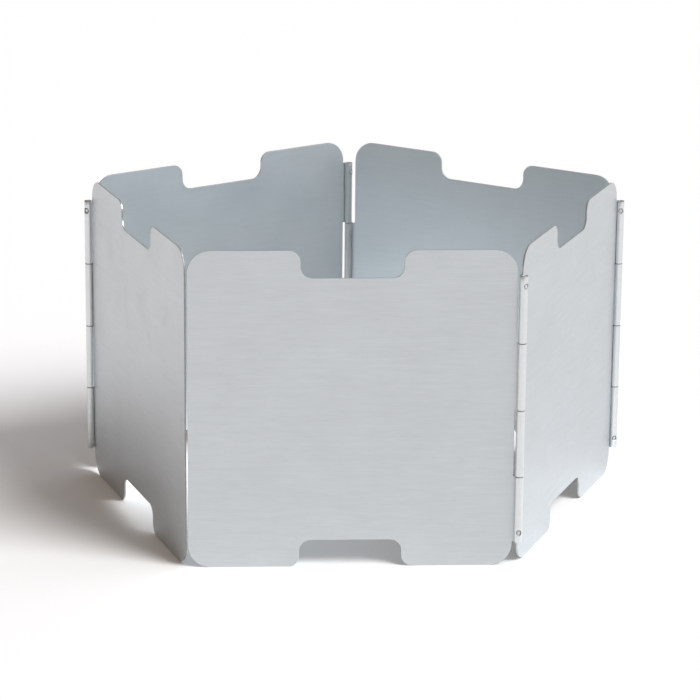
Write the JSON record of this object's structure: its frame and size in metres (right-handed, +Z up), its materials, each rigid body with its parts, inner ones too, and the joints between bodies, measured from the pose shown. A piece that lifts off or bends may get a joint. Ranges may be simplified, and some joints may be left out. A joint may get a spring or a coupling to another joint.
{
  "type": "folding stove windscreen",
  "caption": "Folding windscreen of square aluminium panels on rolled hinges, set up as a closed ring around a small stove.",
  "frame": {"origin": "middle of the set-up ring's footprint, on the ground", "axes": "+Z up along the hinge pins, +X to the right along the front panel, +Y from the front panel to the back hinge"},
  "size_m": [0.226, 0.196, 0.128],
  "materials": {
    "sheet_aluminium": "satin, fine rolled grain",
    "pin_wire": "drawn wire"
  },
  "bodies": {
    "back_right": {"back_right_panel": "sheet_aluminium", "back_centre_pin": "pin_wire"},
    "right": {"right_panel": "sheet_aluminium", "right_rear_pin": "pin_wire"},
    "front": {"front_panel": "sheet_aluminium", "front_right_pin": "pin_wire"},
    "back_left": {"back_left_panel": "sheet_aluminium", "left_rear_pin": "pin_wire"},
    "left": {"left_panel": "sheet_aluminium"}
  },
  "joints": [
    {"name": "right_rear_hinge", "type": "hinge", "parent": "back_right", "child": "right", "pos_m": [0.11136, 0.02426, 0.064], "axis": [0, 0, 1], "range_deg": [0, 258.1]},
    {"name": "front_right_hinge", "type": "hinge", "parent": "right", "child": "front", "pos_m": [0.05892, -0.09633, 0.064], "axis": [0, 0, 1], "range_deg": [-35, 247.2]},
    {"name": "back_centre_hinge", "type": "hinge", "parent": "back_right", "child": "back_left", "pos_m": [0.00068, 0.09633, 0.064], "axis": [0, 0, 1], "range_deg": [0, 113.13]},
    {"name": "left_rear_hinge", "type": "hinge", "parent": "back_left", "child": "left", "pos_m": [-0.11136, 0.02744, 0.064], "axis": [0, 0, -1], "range_deg": [0, 255.06]}
  ],
  "couplings": [
    {"joint": "back_centre_hinge", "follows": "right_rear_hinge", "ratio": 0.43793},
    {"joint": "left_rear_hinge", "follows": "right_rear_hinge", "ratio": 0.98706}
  ]
}
